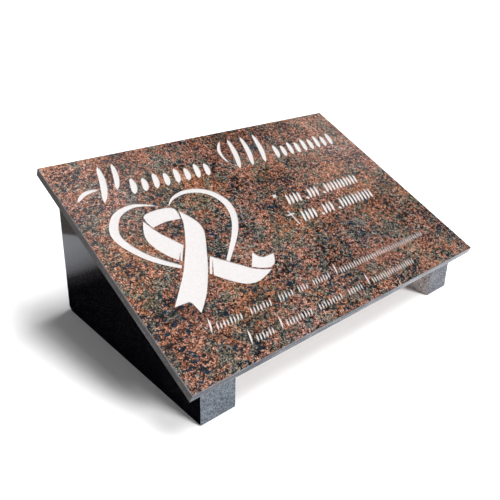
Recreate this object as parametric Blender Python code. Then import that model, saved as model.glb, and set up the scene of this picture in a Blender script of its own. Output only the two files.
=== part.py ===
"""Slanted granite headstone: a thin rectangular slab lying on two wedge-shaped supports.

The slab's top is engraved with an awareness ribbon looped over an open heart and with rows of
shallow pen strokes. Metres, +Z up, the low front edge towards -Y. The origin is on the ground
under the middle of the whole stone.
"""

import math

import bmesh
import bpy
from mathutils import Vector

for leftover in list(bpy.data.objects):
    bpy.data.objects.remove(leftover, do_unlink=True)

MM = 0.001

# The slab
SLAB_WIDTH = 450 * MM
SLAB_DEPTH = 300 * MM
SLAB_THICKNESS = 10 * MM
EDGE_CHAMFER = 0.6 * MM
SLAB_TILT = math.radians(25.4)
FRONT_EDGE_HEIGHT = 46.3 * MM

# The two wedge-shaped supports under it
SUPPORT_WIDTH = 41.3 * MM
SUPPORT_INSET = 21 * MM
SUPPORT_SETBACK = 12.4 * MM
SUPPORT_HEEL_CHAMFER = 5 * MM
SUPPORT_ARRIS = 0.6 * MM
BEDDING_GAP = 0.3 * MM

# The engraving, drawn on a face of this size and scaled with the slab
ENGRAVING_DEPTH = 0.8 * MM
DRAWN_FACE_WIDTH = 450
DRAWN_FACE_DEPTH = 300
CURVE_STEPS = 8
PEN_LEAN = math.radians(20)
PEN_BOW = 0.05
PEN_FULLNESS = 0.4

# The heart and ribbon, placed by their lowest left corner and scaled to their height
MOTIF_CORNER = (25.7, 66.5)
MOTIF_HEIGHT = 152

# The name's row of pen strokes: short strokes between tall ones that stand at TALL_FEET
NAME_BASE = 230.5
NAME_HEIGHT = 25
NAME_PEN = 7.6
NAME_PITCH = 14
NAME_SPANS = ((80, 198, 1), (302, 422, 1))
TALL_HEIGHT = 56
TALL_FEET = (42, 232, 254, 276)
TALL_DROP = 2

# Three lighter strokes beside the tall ones: where each foot stands, right of the edge and above
# the base line, and the stroke's height
MIDDLING_FOOT = (65, 12)
HOOKED_FOOT = (224, 11)
SIDE_HEIGHT = 42
LYING_FOOT = (16, 8)
LYING_HEIGHT = 11

# The two date rows, each with its two points, and the star and cross before them
DATE_BASES = (152.3, 122.7)
DATE_HEIGHT = 18.5
DATE_PEN = 3.9
DATE_PITCH = 6.8
DATE_SPANS = ((253, 279, 1), (291, 311, 1), (323, 388, 1))
DATE_POINTS = (286.5, 318)
POINT_RADIUS = 2.6
STAR_CENTRE = (243.3, 172.2)
STAR_RADIUS = 5.2
CROSS_FOOT = (242.2, 122.3)
CROSS_HEIGHT = 23.5
CROSS_SPAN = 12
CROSS_BAR = 2

# The two verse rows
UPPER_VERSE_BASE = 43
LOWER_VERSE_BASE = 15.6
VERSE_HEIGHT = 10
VERSE_PEN = 1.9
VERSE_PITCH = 4.1
VERSE_LEAD = 1.8

# The stone's colours, in linear values
SLAB_COLOUR = (0.235, 0.105, 0.075, 1.0)
SUPPORT_COLOUR = (0.055, 0.06, 0.07, 1.0)


def stone_material(name, colour, roughness):
    """A plain stone: its colour and how much its finish scatters the light."""
    material = bpy.data.materials.new(name)
    material.use_nodes = True
    shader = material.node_tree.nodes["Principled BSDF"]
    shader.inputs["Base Color"].default_value = colour
    shader.inputs["Roughness"].default_value = roughness
    shader.inputs["Metallic"].default_value = 0.0
    return material


def add_object(name, mesh_builder, material=None):
    """Turn a filled bmesh into an object of the scene."""
    mesh = bpy.data.meshes.new(name)
    mesh_builder.to_mesh(mesh)
    mesh_builder.free()
    piece = bpy.data.objects.new(name, mesh)
    bpy.context.collection.objects.link(piece)
    if material:
        mesh.materials.append(material)
    return piece


def add_prism(builder, outline, low, high, axis_point):
    """Add a closed prism: the outline, placed by axis_point(u, v, level), from low to high."""
    bottom = [builder.verts.new(axis_point(u, v, low)) for u, v in outline]
    top = [builder.verts.new(axis_point(u, v, high)) for u, v in outline]
    builder.faces.new(list(reversed(bottom)))
    builder.faces.new(top)
    count = len(outline)
    for i in range(count):
        j = (i + 1) % count
        builder.faces.new((bottom[i], bottom[j], top[j], top[i]))


def signed_area(outline):
    """Positive for an outline that runs anticlockwise."""
    pairs = zip(outline, outline[1:] + outline[:1])
    return sum(a[0] * b[1] - b[0] * a[1] for a, b in pairs) / 2


def smooth(points, steps=CURVE_STEPS):
    """A Catmull-Rom curve through the points, which may carry a width after x and y."""
    ends = [Vector(points[0])] + [Vector(p) for p in points] + [Vector(points[-1])]
    curve = []
    for a, b, c, d in zip(ends, ends[1:], ends[2:], ends[3:]):
        for i in range(steps):
            t = i / steps
            blend = 2 * b + (c - a) * t
            blend += (2 * a - 5 * b + 4 * c - d) * t**2
            blend += (3 * b - a - 3 * c + d) * t**3
            curve.append(tuple(blend / 2))
    return curve + [tuple(points[-1])]


def closed(*edges):
    """One outline from edges that share their corners, each edge a curve through its points."""
    outline = []
    for edge in edges:
        outline += smooth(edge)[:-1] if len(edge) > 2 else list(edge[:-1])
    return outline


def tapering_band(centre_line):
    """The outline of a band whose width changes along its centre line of (x, y, width)."""
    line = smooth(centre_line)
    left, right = [], []
    for i, (x, y, width) in enumerate(line):
        before = line[max(i - 1, 0)]
        after = line[min(i + 1, len(line) - 1)]
        along = Vector((after[0] - before[0], after[1] - before[1])).normalized()
        side = Vector((-along.y, along.x)) * width / 2
        left.append((x + side.x, y + side.y))
        right.append((x - side.x, y - side.y))
    return left + list(reversed(right))


# The heart: two open arcs, each from its fine tip at the top to the ribbon


def on_motif(outline, left=25.7, foot=66.5, height=152):
    """Place an outline of the heart or the ribbon; they are drawn from (left, foot) at this height."""
    scale = MOTIF_HEIGHT / height
    x, y = MOTIF_CORNER
    return [(x + (u - left) * scale, y + (v - foot) * scale) for u, v in outline]


def heart_outlines():
    left_arc = (
        (97.3, 203.8, 0.3), (80, 212.2, 3.6), (64, 214.5, 5.6), (45, 207.8, 8), (32.2, 191, 9.8),
        (30.4, 175, 9.2), (40.3, 152.8, 7.6), (54.7, 135.6, 6.6), (70.7, 122, 4.7),
    )
    right_arc = (
        (106.2, 201.7, 0.3), (117.5, 210.7, 3.4), (136, 215.3, 5.6), (155, 211.5, 7), (169, 200.5, 8.6),
        (175.2, 182, 9.6), (169, 160, 8.2), (152, 137.5, 6.6), (121.7, 109.8, 3.8),
    )
    return [tapering_band(left_arc), tapering_band(right_arc)]


# The ribbon: five panels, parted by thin lines of uncut stone


def ribbon_outlines():
    front_strip = closed(
        ((113.1, 191.5), (119, 181.3), (123.3, 171), (124.3, 163), (121.5, 152.5), (110, 133),
         (100, 117), (91, 104), (75, 84), (56.3, 66.5)),
        ((56.3, 66.5), (55, 79)),
        ((55, 79), (53, 82.3)),
        ((53, 82.3), (36.3, 82.8)),
        ((36.3, 82.8), (48.8, 95.2), (67, 114), (82, 133), (94, 149.8), (106.3, 171.3),
         (109.8, 181), (113.1, 191.5)),
    )
    top_loop = closed(
        ((70, 195.6), (76.5, 199.6), (91.5, 201), (104.5, 199.4), (110.3, 195.6)),
        ((110.3, 195.6), (110.5, 188.8), (108.1, 180)),
        ((108.1, 180), (90, 181.9), (71.9, 179)),
        ((71.9, 179), (69.9, 187.5), (70, 195.6)),
    )
    left_panel = closed(
        ((67.3, 191.3), (61.3, 181.3), (57, 170), (57.2, 158.5), (63.8, 142.3), (72.6, 130.6)),
        ((72.6, 130.6), (80.8, 139.6)),
        ((80.8, 139.6), (74.1, 129.6)),
        ((74.1, 129.6), (75.2, 127.9)),
        ((75.2, 127.9), (89.2, 146.4)),
        ((89.2, 146.4), (80.6, 160), (75, 169.4), (70.6, 179.4), (67.3, 191.3)),
    )
    right_panel = closed(
        ((107.4, 122.8), (116, 114), (130, 101.3), (140, 92), (150, 86), (161.3, 81.6)),
        ((161.3, 81.6), (149, 77.2), (135, 74.2), (121, 77), (108, 86.8), (95.6, 99.8)),
        ((95.6, 99.8), (107, 117.8)),
        ((107, 117.8), (94.4, 101.2)),
        ((94.4, 101.2), (92.7, 103)),
        ((92.7, 103), (104.4, 119.6)),
        ((104.4, 119.6), (107.4, 122.8)),
    )
    tail_flag = closed(
        ((141.6, 92.8), (155.4, 109.4)),
        ((155.4, 109.4), (159, 101.8), (163.8, 98.6)),
        ((163.8, 98.6), (178.5, 98.9)),
        ((178.5, 98.9), (174.5, 92.4), (168.8, 86.4), (160.6, 84)),
        ((160.6, 84), (150, 87.7), (141.6, 92.8)),
    )
    return [front_strip, top_loop, left_panel, right_panel, tail_flag]


# The rows of pen strokes, which stand for the writing and aren't letters


def pen_stroke(x, y, height, width, lean=PEN_LEAN, bow=PEN_BOW, cuts=3):
    """A leaning stroke with pointed ends, from its foot at (x, y) up to its height."""
    foot = Vector((x, y))
    run = Vector((math.tan(lean), 1)) * height
    side = Vector((run.y, -run.x)).normalized()
    right, left = [], []
    for i in range(1, cuts):
        t = i / cuts
        swell = math.sin(math.pi * t)
        middle = foot + run * t + side * bow * height * swell
        half = side * width / 2 * swell ** PEN_FULLNESS
        right.append(tuple(middle + half))
        left.append(tuple(middle - half))
    return [tuple(foot)] + right + [tuple(foot + run)] + list(reversed(left))


def stroke_row(words, base, height, width, pitch, beat, cuts=3):
    """Words of strokes on one base line, each a (start, end, height of its first stroke)."""
    strokes = []
    for start, end, lead in words:
        if lead > 1:
            strokes.append(pen_stroke(start, base, height * lead, width * 1.2, cuts=cuts))
            start += pitch * (1 + lead / 2)
        count = max(1, round((end - start) / pitch))
        step = (end - start) / count
        for i in range(count):
            stroke_height = height * beat[i % len(beat)]
            strokes.append(pen_stroke(start + i * step, base, stroke_height, width, cuts=cuts))
    return strokes


def regular_star(x, y, radius, waist, arms):
    """A small star with pointed arms."""
    turn = math.pi / arms
    reach = (radius, waist)
    corners = range(2 * arms)
    return [(x + reach[i % 2] * math.sin(i * turn), y + reach[i % 2] * math.cos(i * turn)) for i in corners]


def upright_cross(x, y, height, span, bar):
    """A plain long cross from its foot at (x, y), with its arms a quarter of the way down."""
    half = bar / 2
    arm_low = y + height * 0.72 - half
    right = [(half, y), (half, arm_low), (span / 2, arm_low), (span / 2, arm_low + bar)]
    right += [(half, arm_low + bar), (half, y + height)]
    return [(x + u, v) for u, v in right] + [(x - u, v) for u, v in reversed(right)]


def name_strokes():
    strokes = stroke_row(NAME_SPANS, NAME_BASE, NAME_HEIGHT, NAME_PEN, NAME_PITCH, (1.0, 0.86), cuts=7)
    for foot in TALL_FEET:
        strokes.append(pen_stroke(foot, NAME_BASE - TALL_DROP, TALL_HEIGHT, NAME_PEN, cuts=9))
    side_strokes = (
        (MIDDLING_FOOT, SIDE_HEIGHT, 0.85, PEN_LEAN, PEN_BOW, 9),
        (HOOKED_FOOT, SIDE_HEIGHT, 0.6, PEN_LEAN, -0.16, 9),
        (LYING_FOOT, LYING_HEIGHT, 0.7, math.radians(70), -0.4, 7),
    )
    for (x, rise), height, weight, lean, bow, cuts in side_strokes:
        strokes.append(pen_stroke(x, NAME_BASE + rise, height, NAME_PEN * weight, lean, bow, cuts))
    return strokes


def date_strokes():
    strokes = []
    for base in DATE_BASES:
        strokes += stroke_row(DATE_SPANS, base, DATE_HEIGHT, DATE_PEN, DATE_PITCH, (1.0, 0.93), cuts=5)
        middle = base + POINT_RADIUS
        strokes += [regular_star(x, middle, POINT_RADIUS, POINT_RADIUS * 0.85, 4) for x in DATE_POINTS]
    strokes.append(regular_star(*STAR_CENTRE, STAR_RADIUS, STAR_RADIUS * 0.38, 6))
    strokes.append(upright_cross(*CROSS_FOOT, CROSS_HEIGHT, CROSS_SPAN, CROSS_BAR))
    return strokes


def verse_strokes():
    lead = VERSE_LEAD
    upper = ((52, 93, lead), (102, 132, 1), (141, 163, 1), (169, 185, 1), (192, 220, 1), (229, 398, lead))
    lower = ((80, 112, lead), (120, 166, lead), (175, 213, 1), (222, 247, 1), (256, 344, lead))
    beat = (1.0, 0.88, 1.0, 0.82)
    strokes = stroke_row(upper, UPPER_VERSE_BASE, VERSE_HEIGHT, VERSE_PEN, VERSE_PITCH, beat)
    return strokes + stroke_row(lower, LOWER_VERSE_BASE, VERSE_HEIGHT, VERSE_PEN, VERSE_PITCH, beat)


def engraving_cutter(plane):
    """Every engraved outline as a prism that reaches from the bottom of the cut to above the face."""
    builder = bmesh.new()
    scale_x = SLAB_WIDTH / DRAWN_FACE_WIDTH
    scale_y = SLAB_DEPTH / DRAWN_FACE_DEPTH

    def on_slab(u, v, level):
        return ((u * scale_x - SLAB_WIDTH / 2), v * scale_y, level)

    outlines = [on_motif(outline) for outline in heart_outlines() + ribbon_outlines()]
    outlines += name_strokes() + date_strokes() + verse_strokes()
    low = SLAB_THICKNESS - ENGRAVING_DEPTH
    high = SLAB_THICKNESS + ENGRAVING_DEPTH
    for outline in outlines:
        if signed_area(outline) < 0:
            outline.reverse()
        add_prism(builder, outline, low, high, on_slab)
    cutter = add_object("engraving_cutter", builder)
    cutter.parent = plane
    cutter.hide_render = True
    cutter.display_type = "WIRE"
    return cutter


def granite_slab(plane):
    """The slab: a box with a fine chamfer around its top, engraved."""
    builder = bmesh.new()
    levels = ((0, 0), (SLAB_THICKNESS - EDGE_CHAMFER, 0), (SLAB_THICKNESS, EDGE_CHAMFER))
    rings = []
    for level, inset in levels:
        x = SLAB_WIDTH / 2 - inset
        near, far = inset, SLAB_DEPTH - inset
        corners = ((-x, near), (x, near), (x, far), (-x, far))
        rings.append([builder.verts.new((u, v, level)) for u, v in corners])
    builder.faces.new(list(reversed(rings[0])))
    builder.faces.new(rings[-1])
    for lower, upper in zip(rings, rings[1:]):
        for i, near_corner in enumerate(lower):
            j = (i + 1) % len(lower)
            builder.faces.new((near_corner, lower[j], upper[j], upper[i]))
    slab = add_object("granite_slab", builder, stone_material("red_granite", SLAB_COLOUR, 0.15))
    slab.parent = plane
    carve = slab.modifiers.new("engraving", "BOOLEAN")
    carve.operation = "DIFFERENCE"
    carve.solver = "EXACT"
    carve.use_self = True
    carve.object = engraving_cutter(plane)
    return slab


def support(name, left_side, front, material):
    """A wedge with upright ends, its top parallel to the slab and just clear of it."""
    slope = math.tan(SLAB_TILT)
    gap = BEDDING_GAP / math.cos(SLAB_TILT)
    near = front + SUPPORT_SETBACK
    far = front + SLAB_DEPTH * math.cos(SLAB_TILT)
    heel = SUPPORT_HEEL_CHAMFER

    def top_at(y):
        return FRONT_EDGE_HEIGHT - gap + (y - front) * slope

    profile = [(near, 0), (far - heel, 0), (far, heel), (far, top_at(far)), (near, top_at(near))]
    builder = bmesh.new()
    add_prism(builder, profile, left_side, left_side + SUPPORT_WIDTH, lambda y, z, x: (x, y, z))
    wedge = add_object(name, builder, material)
    arris = wedge.modifiers.new("arris", "BEVEL")
    arris.width = SUPPORT_ARRIS
    arris.segments = 1
    arris.limit_method = "ANGLE"
    arris.angle_limit = math.radians(30)
    return wedge


def headstone():
    """The slab on its tilted plane and the two supports, centred on the origin."""
    reach_front = -(SLAB_THICKNESS - EDGE_CHAMFER) * math.sin(SLAB_TILT)
    reach_back = SLAB_DEPTH * math.cos(SLAB_TILT)
    front = -(reach_front + reach_back) / 2

    plane = bpy.data.objects.new("slab_plane", None)
    plane.location = (0, front, FRONT_EDGE_HEIGHT)
    plane.rotation_euler = (SLAB_TILT, 0, 0)
    bpy.context.collection.objects.link(plane)
    granite_slab(plane)

    dark = stone_material("dark_granite", SUPPORT_COLOUR, 0.3)
    outer = SLAB_WIDTH / 2 - SUPPORT_INSET
    support("left_support", -outer, front, dark)
    support("right_support", outer - SUPPORT_WIDTH, front, dark)


headstone()
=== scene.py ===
import math

import bpy
from mathutils import Matrix, Vector


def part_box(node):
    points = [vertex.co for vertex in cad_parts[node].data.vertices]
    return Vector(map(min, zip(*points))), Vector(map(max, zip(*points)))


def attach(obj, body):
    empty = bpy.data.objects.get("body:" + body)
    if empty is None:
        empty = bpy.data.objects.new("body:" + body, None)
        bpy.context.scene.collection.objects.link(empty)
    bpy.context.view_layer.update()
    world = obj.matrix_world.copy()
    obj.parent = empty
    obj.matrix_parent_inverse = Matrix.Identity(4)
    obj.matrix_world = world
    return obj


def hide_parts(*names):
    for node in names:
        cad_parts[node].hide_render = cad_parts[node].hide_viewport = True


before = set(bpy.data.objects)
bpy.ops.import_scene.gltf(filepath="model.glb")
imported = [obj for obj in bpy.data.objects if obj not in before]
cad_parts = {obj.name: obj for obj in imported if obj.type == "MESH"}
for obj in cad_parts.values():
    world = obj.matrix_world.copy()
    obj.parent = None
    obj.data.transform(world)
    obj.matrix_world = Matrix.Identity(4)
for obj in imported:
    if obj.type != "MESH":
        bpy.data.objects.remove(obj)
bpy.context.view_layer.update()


def linear(hex_colour):
    """Turns an sRGB hex colour into the linear RGBA that the shaders take."""
    steps = [int(hex_colour[at:at + 2], 16) / 255 for at in (1, 3, 5)]
    return tuple(c / 12.92 if c <= 0.04045 else ((c + 0.055) / 1.055) ** 2.4 for c in steps) + (1.0,)


def add(tree, kind, inputs=None, stops=None, **settings):
    """Adds one node: its settings, the stops of a ramp, and each input's value or link."""
    made = tree.nodes.new("ShaderNode" + kind)
    for name, value in settings.items():
        setattr(made, name, value)
    if stops:
        ramp = made.color_ramp.elements
        while len(ramp) < len(stops):
            ramp.new(1.0)
        for stop, (place, colour) in zip(ramp, stops):
            stop.position = place
            stop.color = linear(colour) if isinstance(colour, str) else (colour, colour, colour, 1.0)
    for name, value in (inputs or {}).items():
        if isinstance(value, bpy.types.NodeSocket):
            tree.links.new(value, made.inputs[name])
        else:
            made.inputs[name].default_value = value
    return made


# The slab's plane and half its width in millimetres, read from the frame.

slab_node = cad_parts["granite_slab"]
polished_facet = max((facet for facet in slab_node.data.polygons if facet.normal.z > 0.5),
                     key=lambda facet: facet.area)
slab_up = polished_facet.normal.copy()
top_height = polished_facet.center.dot(slab_up)
slab_tilt = math.atan2(-slab_up.y, slab_up.z)
half_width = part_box("granite_slab")[1][0] * 1000


def new_stone(name, roughness, ior=1.54):
    """A stone without its pattern: the material, its nodes, its shader, and where a point lies in
    millimetres, turned so that X and Y run along the slab's face and Z through its thickness."""
    material = bpy.data.materials.new(name)
    material.use_nodes = True
    tree = material.node_tree
    shader = tree.nodes["Principled BSDF"]
    shader.inputs["Roughness"].default_value = roughness
    shader.inputs["IOR"].default_value = ior
    turned = add(tree, "VectorRotate", {"Vector": add(tree, "TexCoord").outputs["Object"],
                                        "Angle": -slab_tilt}, rotation_type="X_AXIS").outputs[0]
    place = add(tree, "VectorMath", {0: turned, "Scale": 1000.0}, operation="SCALE").outputs[0]
    return material, tree, shader, place


def red_granite_grain(tree, place):
    """Interlocked grains of salmon feldspar, olive-grey quartz and blue-black mica, 1 to 5 mm across,
    in cloudy patches a few centimetres wide."""
    # The grains' borders wander by about a millimetre, so that no cell has straight sides.
    wander = add(tree, "TexNoise", {"Vector": place, "Scale": 1 / 1.6, "Detail": 2.0}).outputs["Color"]
    bent = add(tree, "VectorMath", {0: wander, 1: (1.8, 1.8, 1.8), 2: place},
               operation="MULTIPLY_ADD").outputs[0]
    # Cells of three sizes in millimetres, each cell with three chance values of its own.
    patch, grain, crumb = (
        add(tree, "SeparateColor",
            {0: add(tree, "TexVoronoi", {"Vector": bent, "Scale": 1 / size}).outputs["Color"]}).outputs
        for size in (4.5, 2.0, 0.88))

    # How light a grain is depends on its own chance, and on the cloud (6 cm) and the drift (5 mm)
    # that it lies in.
    cloud = add(tree, "TexNoise", {"Vector": place, "Scale": 1 / 60, "Detail": 3.0, "Roughness": 0.6,
                                   "W": 90.0}, noise_dimensions="4D").outputs[0]
    drift = add(tree, "TexNoise", {"Vector": bent, "Scale": 1 / 5, "Detail": 2.0,
                                   "Roughness": 0.6}).outputs[0]
    light = -0.613
    for part, share in ((grain[0], 0.25), (crumb[0], 0.74), (cloud, 0.51), (drift, 0.70)):
        light = add(tree, "Math", {0: part, 1: share, 2: light}, operation="MULTIPLY_ADD").outputs[0]
    feldspar = add(tree, "ValToRGB", {0: light}, stops=[
        (0.17, "#2e1f18"), (0.35, "#6b432f"), (0.51, "#a16246"), (0.67, "#c38366"), (0.88, "#e8bfaf")])
    quartz = add(tree, "ValToRGB", {0: light}, stops=[
        (0.17, "#13191b"), (0.35, "#393a34"), (0.51, "#645d4f"), (0.67, "#8a7f6e"), (0.88, "#c2b6a9")])

    # Quartz lies in olive-grey drifts of 8 mm among the salmon grains; which of the two leads
    # changes over a few centimetres.
    lead = add(tree, "TexNoise", {"Vector": place, "Scale": 1 / 25, "Detail": 2.0, "W": 7.0},
               noise_dimensions="4D").outputs[0]
    soft = add(tree, "TexNoise", {"Vector": bent, "Scale": 1 / 8.5, "Detail": 2.0, "W": 4.0},
               noise_dimensions="4D").outputs[0]
    hue = lead
    for part, share in ((patch[1], 0.27), (soft, 1.1)):
        hue = add(tree, "Math", {0: part, 1: share, 2: hue}, operation="MULTIPLY_ADD").outputs[0]
    cooling = add(tree, "MapRange", {"Value": hue, "From Min": 1.16, "From Max": 1.30}).outputs[0]
    body = add(tree, "Mix", {"Factor": cooling, 6: feldspar.outputs[0], 7: quartz.outputs[0]},
               data_type="RGBA").outputs[2]
    # Over patches of about 9 cm the whole stone turns slightly warmer or cooler.
    shade = add(tree, "TexNoise", {"Vector": place, "Scale": 1 / 90, "Detail": 1.0, "W": 3.0},
                noise_dimensions="4D").outputs[0]
    veil = add(tree, "ValToRGB", {0: shade}, stops=[
        (0.35, "#fff7e6"), (0.50, "#ffffff"), (0.65, "#f0f3ff")]).outputs[0]
    body = add(tree, "Mix", {"Factor": 1.0, 6: body, 7: veil}, data_type="RGBA",
               blend_type="MULTIPLY").outputs[2]

    # Mica lies in knots of 2 to 6 mm and in thin winding threads, both crowded in places, and in
    # single small flakes between them.
    crowd = add(tree, "TexNoise", {"Vector": place, "Scale": 1 / 38, "Detail": 2.0, "W": 110.0},
                noise_dimensions="4D").outputs[0]
    knot_place = add(tree, "VectorMath", {0: place, 1: (1 / 4.4, 1 / 3.2, 1 / 3.8)},
                     operation="MULTIPLY").outputs[0]
    knot = add(tree, "TexNoise", {"Vector": knot_place, "Scale": 1.0, "Detail": 4.0, "Roughness": 0.65,
                                  "Distortion": 0.5}).outputs[0]
    knot = add(tree, "Math", {0: crowd, 1: 0.36, 2: knot}, operation="MULTIPLY_ADD").outputs[0]
    knots = add(tree, "MapRange", {"Value": knot, "From Min": 0.737, "From Max": 0.749}).outputs[0]
    thread = add(tree, "TexNoise", {"Vector": place, "Scale": 1 / 6, "Detail": 3.0, "Roughness": 0.6,
                                    "W": 2.0}, noise_dimensions="4D").outputs[0]
    thread = add(tree, "Math", {0: thread, 1: 0.5, 2: 0.022}, operation="COMPARE").outputs[0]
    near = add(tree, "MapRange", {"Value": knot, "From Min": 0.677, "From Max": 0.692}).outputs[0]
    threads = add(tree, "Math", {0: thread, 1: near}, operation="MULTIPLY").outputs[0]
    flakes = add(tree, "MapRange", {"Value": crumb[1], "From Min": 0.92, "From Max": 0.94}).outputs[0]
    mica = knots
    for more in (threads, flakes):
        mica = add(tree, "Math", {0: mica, 1: more}, operation="MAXIMUM").outputs[0]
    # The mica is navy in one place and brown-black in the next.
    dark = add(tree, "ValToRGB", {0: patch[2]}, stops=[
        (0.0, "#04334a"), (0.35, "#04222e"), (0.60, "#0e0c09"), (1.0, "#22150c")])
    return add(tree, "Mix", {"Factor": mica, 6: body, 7: dark.outputs[0]}, data_type="RGBA").outputs[2]


def polished_red_granite():
    """Red granite, ground and polished: a wet-looking clear surface that shows every grain at full
    strength and mirrors the sky softly."""
    material, tree, shader, place = new_stone("polished_red_granite", 0.14)
    tree.links.new(red_granite_grain(tree, place), shader.inputs["Base Color"])
    # The polish is a little duller in some places than in others, over about 3 cm.
    haze = add(tree, "TexNoise", {"Vector": place, "Scale": 1 / 30, "Detail": 3.0}).outputs[0]
    dull = add(tree, "MapRange", {"Value": haze, "To Min": 0.10, "To Max": 0.20}).outputs[0]
    tree.links.new(dull, shader.inputs["Roughness"])
    return material


def honed_red_granite():
    """The fine chamfer of the same stone, ground but not polished: a pale matt line along the edge."""
    material, tree, shader, place = new_stone("honed_red_granite", 0.5)
    grain = red_granite_grain(tree, place)
    pale = add(tree, "Mix", {"Factor": 0.7, 6: grain, 7: linear("#8b8d92")}, data_type="RGBA").outputs[2]
    tree.links.new(pale, shader.inputs["Base Color"])
    return material


def ground_edge_granite(name, pale, middle, deep):
    """A granite edge, sawn and ground but not polished: the crushed surface scatters light, so the
    stone looks grey, with fine streaks along the cut and faint stains."""
    material, tree, shader, place = new_stone(name, 0.62)
    across, along, depth = add(tree, "SeparateXYZ", {0: place}).outputs
    # The real grit is about 0.5 mm; it is drawn at 1.3 mm so that it shows. A streak is 45 mm long
    # and 1.6 mm high, a stain 55 mm wide.
    grit = add(tree, "TexVoronoi", {"Vector": place, "Scale": 1 / 1.3}).outputs["Color"]
    speck = add(tree, "SeparateColor", {0: grit}).outputs[0]
    streak_place = add(tree, "VectorMath", {0: place, 1: (1 / 45, 1 / 45, 1 / 1.6)},
                       operation="MULTIPLY").outputs[0]
    streaks = add(tree, "TexNoise", {"Vector": streak_place, "Scale": 1.0, "Detail": 3.0}).outputs[0]
    stain = add(tree, "TexNoise", {"Vector": place, "Scale": 1 / 55, "Detail": 2.0}).outputs[0]
    # The grinding wheel left one shallow darker line along the edge, 4 mm below the top.
    line = add(tree, "Math", {0: depth, 1: top_height * 1000 - 4.0, 2: 0.6}, operation="COMPARE").outputs[0]
    tone = streaks
    for part, share in ((speck, 0.35), (stain, 0.6), (line, -0.3)):
        tone = add(tree, "Math", {0: part, 1: share, 2: tone}, operation="MULTIPLY_ADD").outputs[0]
    # A painted shade darkens the left end and a painted light brightens the right end.
    painted_left_shade = add(tree, "MapRange", {"Value": across, "From Min": -half_width, "From Max": half_width,
                                   "To Min": -0.28, "To Max": 0.10}).outputs[0]
    tone = add(tree, "Math", {0: tone, 1: painted_left_shade}).outputs[0]
    grey = add(tree, "ValToRGB", {0: tone}, stops=[(0.65, deep), (0.92, middle), (1.2, pale)]).outputs[0]
    # The edge turns darker and browner towards the raised back.
    darker_toward_back = add(tree, "Math", {0: stain, 1: 120.0, 2: along}, operation="MULTIPLY_ADD").outputs[0]
    darker_toward_back = add(tree, "MapRange", {"Value": darker_toward_back, "From Min": 30.0, "From Max": 260.0,
                                   "To Max": 0.75}).outputs[0]
    grey = add(tree, "Mix", {"Factor": darker_toward_back, 6: grey, 7: linear("#443c34")}, data_type="RGBA").outputs[2]
    tree.links.new(grey, shader.inputs["Base Color"])
    tree.links.new(add(tree, "Bump", {"Height": tone, "Strength": 0.35, "Distance": 0.0003}).outputs[0],
                   shader.inputs["Normal"])
    return material


def white_stone_paint():
    """White paint brushed into the engraving: flat, opaque and slightly uneven over the blasted floor."""
    material, tree, shader, place = new_stone("white_stone_paint", 0.55, ior=1.5)
    uneven = add(tree, "TexNoise", {"Vector": place, "Scale": 1 / 2.5, "Detail": 3.0}).outputs[0]
    white = add(tree, "ValToRGB", {0: uneven}, stops=[(0.30, "#e0dcdb"), (0.65, "#e7e3e2")]).outputs[0]
    tree.links.new(white, shader.inputs["Base Color"])
    tree.links.new(add(tree, "Bump", {"Height": uneven, "Strength": 0.25, "Distance": 0.0003}).outputs[0],
                   shader.inputs["Normal"])
    return material


def sawn_granite(name, pale, middle, deep):
    """Granite left from the saw: its colour turns to a matt grey, sharply speckled with crushed pale
    grains, with pits where single grains were torn out, painted dark as the shade inside them."""
    material, tree, shader, place = new_stone(name, 0.6)
    # The real speckle is about 0.7 mm; it is drawn at 1.1 mm so that it shows.
    fine = add(tree, "TexVoronoi", {"Vector": place, "Scale": 1 / 1.1}).outputs["Color"]
    speck = add(tree, "SeparateColor", {0: fine}).outputs[0]
    cloud = add(tree, "TexNoise", {"Vector": place, "Scale": 1 / 14, "Detail": 3.0}).outputs[0]
    tone = add(tree, "Math", {0: cloud, 1: 0.45, 2: speck}, operation="MULTIPLY_ADD").outputs[0]
    grey = add(tree, "ValToRGB", {0: tone}, stops=[(0.22, deep), (0.70, middle), (1.20, pale)]).outputs[0]
    # The pits lie about 4.5 mm apart.
    pit_gap = add(tree, "TexVoronoi", {"Vector": place, "Scale": 1 / 4.5}).outputs["Distance"]
    pits = add(tree, "ValToRGB", {0: pit_gap}, stops=[(0.08, 1.0), (0.17, 0.0)]).outputs[0]
    # The pits' dark colour is painted shade for the hollows that the bump sinks.
    pit_shaded = add(tree, "Mix", {"Factor": pits, 6: grey, 7: linear("#2f3238")}, data_type="RGBA").outputs[2]
    tree.links.new(pit_shaded, shader.inputs["Base Color"])
    sunk = add(tree, "Math", {0: tone, 1: pits}, operation="SUBTRACT").outputs[0]
    tree.links.new(add(tree, "Bump", {"Height": sunk, "Strength": 0.4, "Distance": 0.0004}).outputs[0],
                   shader.inputs["Normal"])
    return material


def polished_black_granite():
    """The same dark granite polished: almost black, a clear mirror, with grey flecks just visible."""
    material, tree, shader, place = new_stone("polished_black_granite", 0.07, ior=1.6)
    # The real flecks are about 0.7 mm; they are drawn at 1.2 mm so that they show.
    fleck = add(tree, "TexVoronoi", {"Vector": place, "Scale": 1 / 1.2}).outputs["Color"]
    speck = add(tree, "SeparateColor", {0: fleck}).outputs[0]
    black = add(tree, "ValToRGB", {0: speck}, stops=[
        (0.0, "#060508"), (0.85, "#0e0d11"), (1.0, "#232226")]).outputs[0]
    tree.links.new(black, shader.inputs["Base Color"])
    return material


def dressed_copy(node, name, materials, finish_of):
    """A copy of a CAD node's mesh whose facets each take the finish that finish_of names."""
    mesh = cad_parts[node].data.copy()
    mesh.name = name
    mesh.materials.clear()
    for material in materials:
        mesh.materials.append(material)
    for facet in mesh.polygons:
        facet.material_index = finish_of(facet)
        facet.use_smooth = False
    piece = bpy.data.objects.new(name, mesh)
    bpy.context.scene.collection.objects.link(piece)
    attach(piece, "root")
    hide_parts(node)
    return piece


POLISHED, CHAMFER, SIDE_EDGE, PAINT, FRONT_EDGE, UNDERSIDE = range(6)

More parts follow.
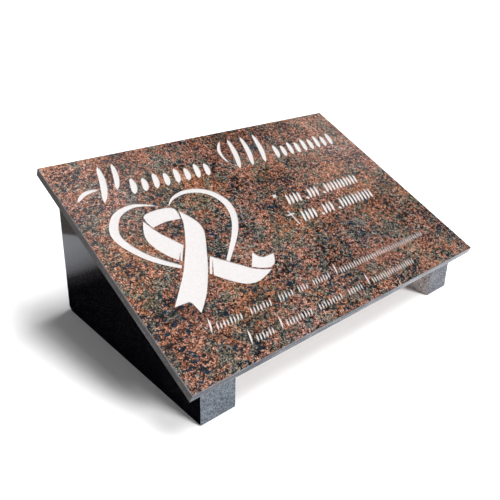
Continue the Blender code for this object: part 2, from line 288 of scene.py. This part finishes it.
# How far below the polished face a facet is still the face itself, or still part of the engraving.
FACE_SLACK = 0.0001
ENGRAVED = 0.0009


def slab_finish(facet):
    """Which finish a facet of the slab has, from its slope and its depth below the polished face."""
    slope = facet.normal.dot(slab_up)
    depth = top_height - facet.center.dot(slab_up)
    if slope > 0.99:
        return POLISHED if depth < FACE_SLACK else PAINT
    if slope > 0.5:
        return CHAMFER
    if slope < -0.9:
        return UNDERSIDE
    if depth < ENGRAVED:
        return PAINT
    return FRONT_EDGE if facet.normal.y < -0.5 else SIDE_EDGE


# The materials stand in the order of the finishes above.
slab = dressed_copy("granite_slab", "slab", [
    polished_red_granite(),
    honed_red_granite(),
    ground_edge_granite("ground_side_granite", "#85878d", "#717176", "#514e4b"),
    white_stone_paint(),
    # The front edge is painted paler than the sides, a painted light for the floor's bounced light.
    ground_edge_granite("ground_front_granite_painted_lit", "#b4b6ba", "#8e9299", "#62666e"),
    sawn_granite("sawn_red_granite", "#b9aaa3", "#93857e", "#685b55")], slab_finish)

SAWN, OUTER_SIDE, INNER_SIDE = range(3)


def wedge_finish(outward):
    """Names the finish of a wedge's facet: polished on the outer side, sawn on the inner side, and
    sawn in another tone all round between them."""
    def finish_of(facet):
        if abs(facet.normal.x) < 0.9:
            return SAWN
        return OUTER_SIDE if facet.normal.x * outward > 0 else INNER_SIDE
    return finish_of


sawn_inner = sawn_granite("sawn_brown_grey_granite", "#cfc5c1", "#a79b97", "#6c625f")
polished_side = polished_black_granite()

# Painted lit and shaded copies of one stone: the right front is paler and less blue, the left darker.
wedges = []
for side, outward, sawn_front in (
        ("left_support", -1, sawn_granite("sawn_grey_granite_painted_shade", "#9aa3af", "#747e8a", "#505963")),
        ("right_support", 1, sawn_granite("sawn_grey_granite_painted_light", "#aeafb8", "#848791", "#5a5f68"))):
    wedge = dressed_copy(side, side.replace("support", "wedge"), [sawn_front, polished_side, sawn_inner],
                         wedge_finish(outward))
    wedges.append(wedge)


def flat_square(name, reach):
    """A square sheet that reaches as far as it says to each side of its middle."""
    mesh = bpy.data.meshes.new(name)
    corners = [(-reach, -reach, 0), (reach, -reach, 0), (reach, reach, 0), (-reach, reach, 0)]
    mesh.from_pydata(corners, [], [(0, 1, 2, 3)])
    return mesh


def make_floor():
    """A matt white floor, so large that its far edge is out of every view."""
    mesh = flat_square("studio_floor", 60.0)
    material = bpy.data.materials.new("matt_white_floor")
    material.use_nodes = True
    shader = material.node_tree.nodes["Principled BSDF"]
    shader.inputs["Base Color"].default_value = linear("#f9f9f9")
    shader.inputs["Roughness"].default_value = 1.0
    shader.inputs["Specular IOR Level"].default_value = 0.0
    mesh.materials.append(material)
    floor = bpy.data.objects.new("studio_floor", mesh)
    bpy.context.scene.collection.objects.link(floor)
    floor.visible_glossy = False
    return floor


def mirrored_card(name, reach):
    """A square card that only mirrored rays meet, and the nodes of its material."""
    mesh = flat_square(name, reach)
    material = bpy.data.materials.new(name)
    material.use_nodes = True
    mesh.materials.append(material)
    card = bpy.data.objects.new(name, mesh)
    card.visible_camera = card.visible_diffuse = card.visible_shadow = card.visible_transmission = False
    bpy.context.scene.collection.objects.link(card)
    return card, material.node_tree


def lay_mirror_card():
    """What the polished sides mirror in place of the floor: a painted shadow of the stone near it, then
    white paper that begins behind the stone and ends in a sharp border, with the dim room beyond it."""
    card, tree = mirrored_card("mirror_card", 8.0)
    card.location.z = -0.0005
    rightward, backward = add(tree, "SeparateXYZ", {0: add(tree, "TexCoord").outputs["Object"]}).outputs[:2]
    # The dark part of this ramp near the stone is a painted shadow on the floor.
    paper = add(tree, "MapRange", {"Value": backward, "From Min": 0.18, "From Max": 0.34}).outputs[0]
    paper = add(tree, "ValToRGB", {0: paper}, stops=[
        (0.0, "#08080a"), (0.18, "#4c4a4b"), (0.30, "#b3b3b8"), (0.45, "#dcdee4"),
        (0.75, "#f8faff")]).outputs[0]
    # The border runs slantwise: it comes nearer the further out to either side it is.
    sideways = add(tree, "Math", {0: rightward}, operation="ABSOLUTE").outputs[0]
    past = add(tree, "Math", {0: backward, 1: 0.68, 2: sideways}, operation="MULTIPLY_ADD").outputs[0]
    past = add(tree, "MapRange", {"Value": past, "From Min": 0.533, "From Max": 0.537}).outputs[0]
    near = add(tree, "Mix", {"Factor": past, 6: paper, 7: linear("#85827b")}, data_type="RGBA").outputs[2]
    # Half a metre out to the sides and in front, the paper grows light again.
    ahead = add(tree, "Math", {0: 0.2, 1: backward}, operation="SUBTRACT").outputs[0]
    away = add(tree, "Math", {0: sideways, 1: ahead}, operation="MAXIMUM").outputs[0]
    away = add(tree, "MapRange", {"Value": away, "From Min": 0.45, "From Max": 1.1}).outputs[0]
    outer = add(tree, "ValToRGB", {0: away}, stops=[
        (0.0, "#08080a"), (0.4, "#9a999c"), (1.0, "#e6e6ec")]).outputs[0]
    seen = add(tree, "Mix", {"Factor": 1.0, 6: near, 7: outer}, data_type="RGBA",
               blend_type="LIGHTEN").outputs[2]
    glow = add(tree, "Emission", {"Color": seen, "Strength": 1.15})
    tree.links.new(glow.outputs[0], tree.nodes["Material Output"].inputs[0])


def hang_card(name, towards, radius, strength):
    """A round white card 2 m from the stone, brightest at its middle."""
    card, tree = mirrored_card(name, radius)
    middle_gap = add(tree, "VectorMath", {0: add(tree, "TexCoord").outputs["Object"]},
                     operation="LENGTH").outputs["Value"]
    glow = add(tree, "MapRange", {"Value": middle_gap, "From Max": radius, "To Min": strength, "To Max": 0.0},
               interpolation_type="SMOOTHSTEP").outputs[0]
    shine = add(tree, "Emission", {"Color": linear("#ffe8e4"), "Strength": glow})
    tree.links.new(shine.outputs[0], tree.nodes["Material Output"].inputs[0])
    outward = Vector(towards).normalized()
    card.location = outward * 2.0
    card.rotation_euler = outward.to_track_quat("Z", "Y").to_euler()


def hang_sun(name, towards, strength, spread, lit):
    """A soft light from far away that lights the listed pieces; towards points to the light."""
    lamp = bpy.data.lights.new(name, "SUN")
    lamp.energy = strength
    lamp.angle = math.radians(spread)
    holder = bpy.data.objects.new(name, lamp)
    holder.rotation_euler = Vector(towards).to_track_quat("Z", "Y").to_euler()
    bpy.context.scene.collection.objects.link(holder)
    holder.light_linking.receiver_collection = bpy.data.collections.new(name + "_lit")
    for piece in lit:
        holder.light_linking.receiver_collection.objects.link(piece)


floor = make_floor()
lay_mirror_card()
hang_card("left_card", (0.28, 0.27, 0.92), 0.62, 1.55)
hang_card("right_card", (0.91, 0.27, 0.66), 0.54, 1.3)
hang_sun("overhead_light", (0.20, -0.26, 1.0), 3.05, 20, [slab] + wedges)
hang_sun("right_floor_light", (0.4, -0.2, 1.0), 4.1, 42, [floor])
hang_sun("front_floor_light", (0.5, -1.7, 0.9), 4.1, 20, [floor])
hang_sun("left_floor_light", (-0.9, -0.9, 1.0), 0.22, 60, [floor])

# The camera sees a white wall, while a dim and slightly cool room lights the stones.
world = bpy.data.worlds.new("studio")
bpy.context.scene.world = world
world.use_nodes = True
surround = world.node_tree
dim_room = surround.nodes["Background"]
dim_room.inputs["Color"].default_value = (0.16, 0.163, 0.17, 1.0)
white_wall = add(surround, "Background", {"Color": (1.0, 1.0, 1.0, 1.0)})
seen = add(surround, "MixShader", {0: add(surround, "LightPath").outputs["Is Camera Ray"],
                                   1: dim_room.outputs[0], 2: white_wall.outputs[0]})
surround.links.new(seen.outputs[0], surround.nodes["World Output"].inputs[0])

# The photograph's viewing angle, with the camera rolled by three quarters of a degree.
lens = bpy.data.cameras.new("camera")
lens.sensor_width = 36.0
lens.lens = 42.06
lens.shift_x = 0.038
lens.shift_y = -0.0712
lens.clip_end = 200.0
eye, aim = Vector((-0.4567, -0.4508, 0.3767)), Vector((-0.0329, 0.0391, 0.1115))
look = (aim - eye).to_track_quat("-Z", "Y").to_matrix().to_4x4()
roll = Matrix.Rotation(math.radians(0.76), 4, "Z")
camera = bpy.data.objects.new("camera", lens)
camera.matrix_world = Matrix.Translation(eye) @ look @ roll
bpy.context.scene.collection.objects.link(camera)
bpy.context.scene.camera = camera
bpy.context.scene.view_settings.view_transform = "Standard"
